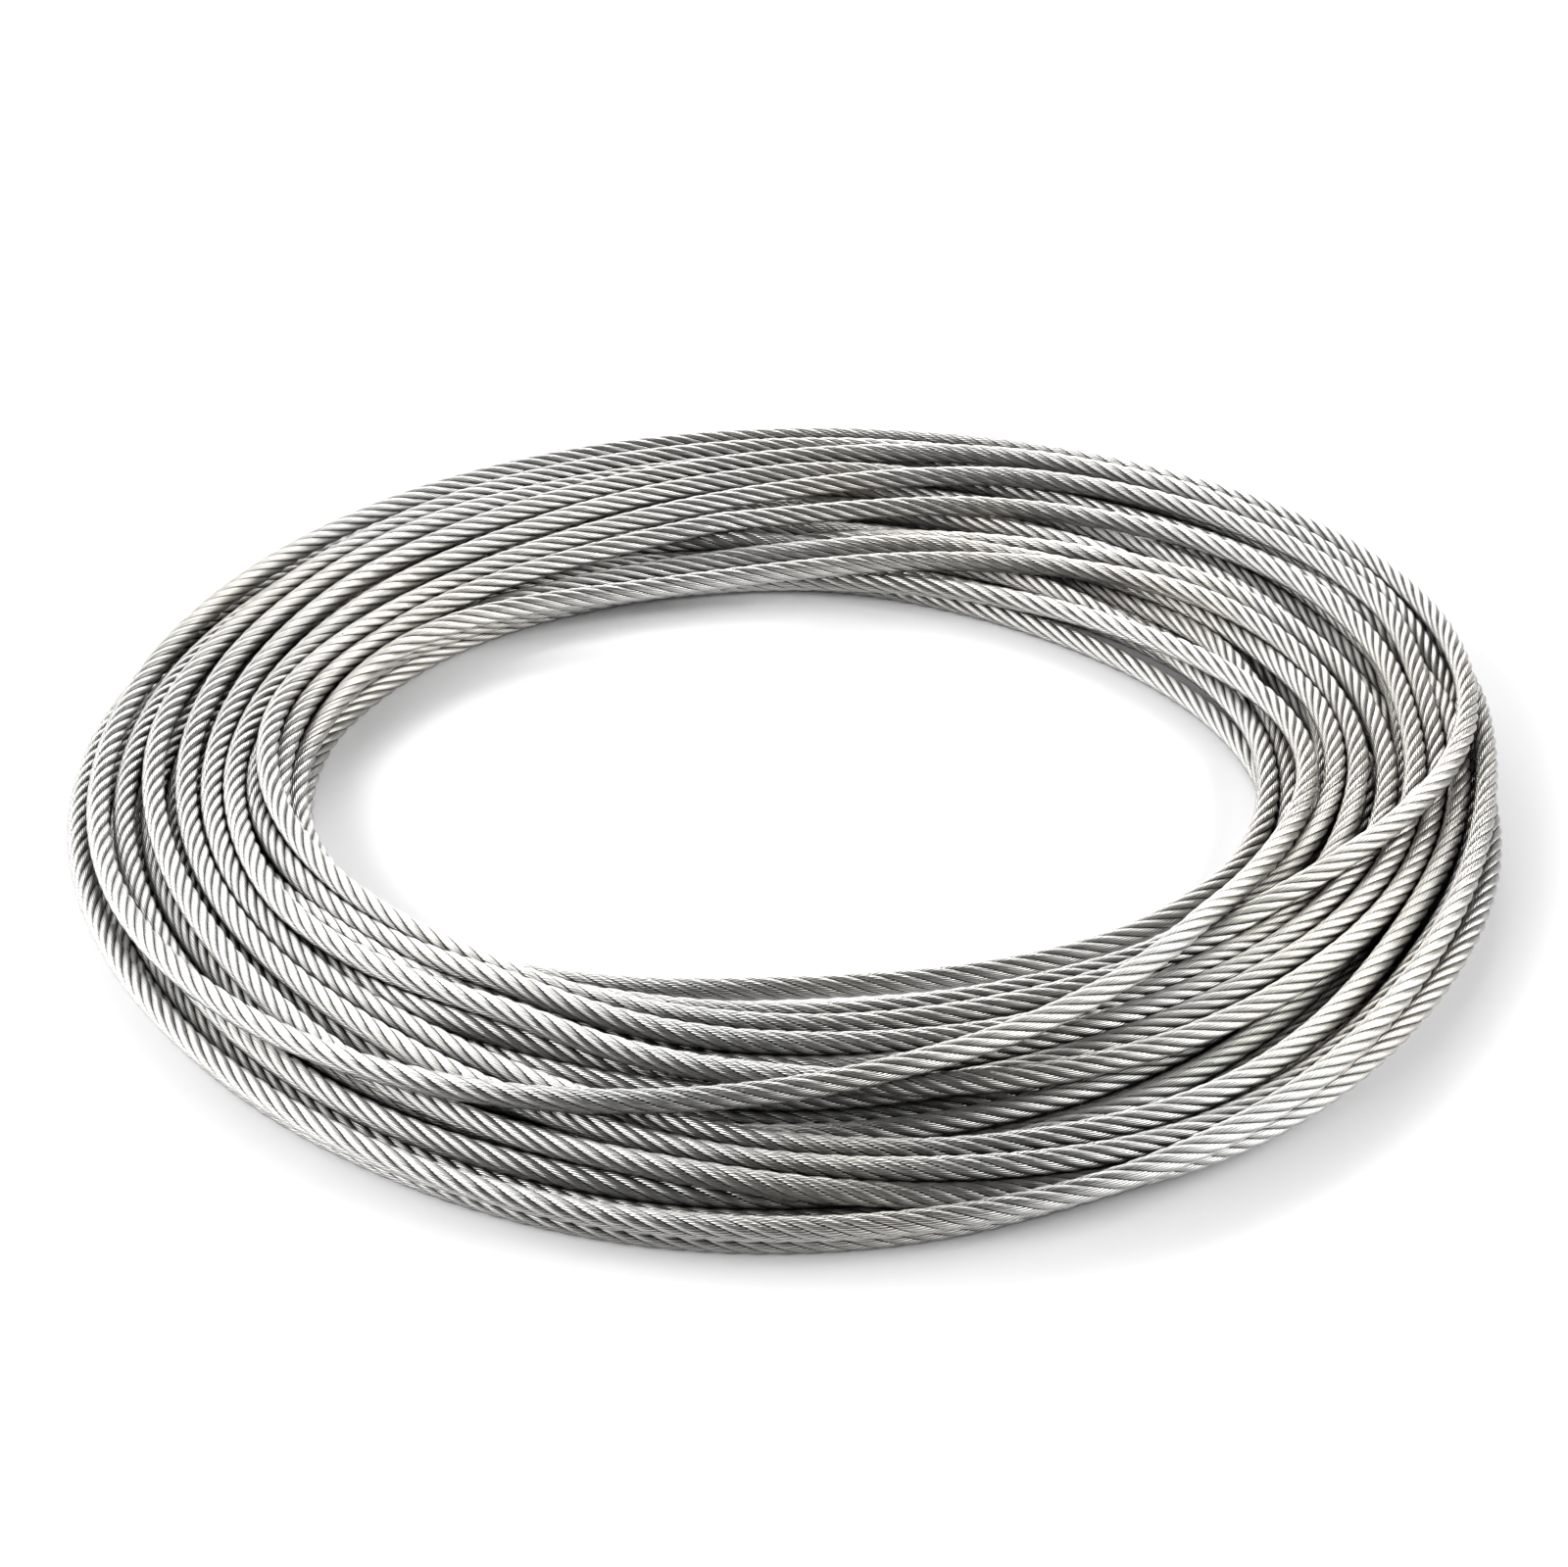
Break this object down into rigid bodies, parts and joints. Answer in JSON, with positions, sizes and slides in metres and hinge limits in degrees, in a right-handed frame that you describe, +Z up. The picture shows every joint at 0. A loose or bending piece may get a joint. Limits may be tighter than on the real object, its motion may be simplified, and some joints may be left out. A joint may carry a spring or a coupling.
{
  "type": "coil of wire rope",
  "caption": "Loose flat coil of stranded stainless wire rope, lying on its side with an open eye and crossing turns on top.",
  "frame": {"origin": "centre of the coil, on the surface that it lies on", "axes": "+Z up along the axis of the coil"},
  "size_m": [0.256, 0.256, 0.0142],
  "materials": {
    "stainless_rope": "bright drawn stainless wire, satin"
  },
  "bodies": {
    "root": {"wire_rope_coil": "stainless_rope"}
  },
  "joints": []
}
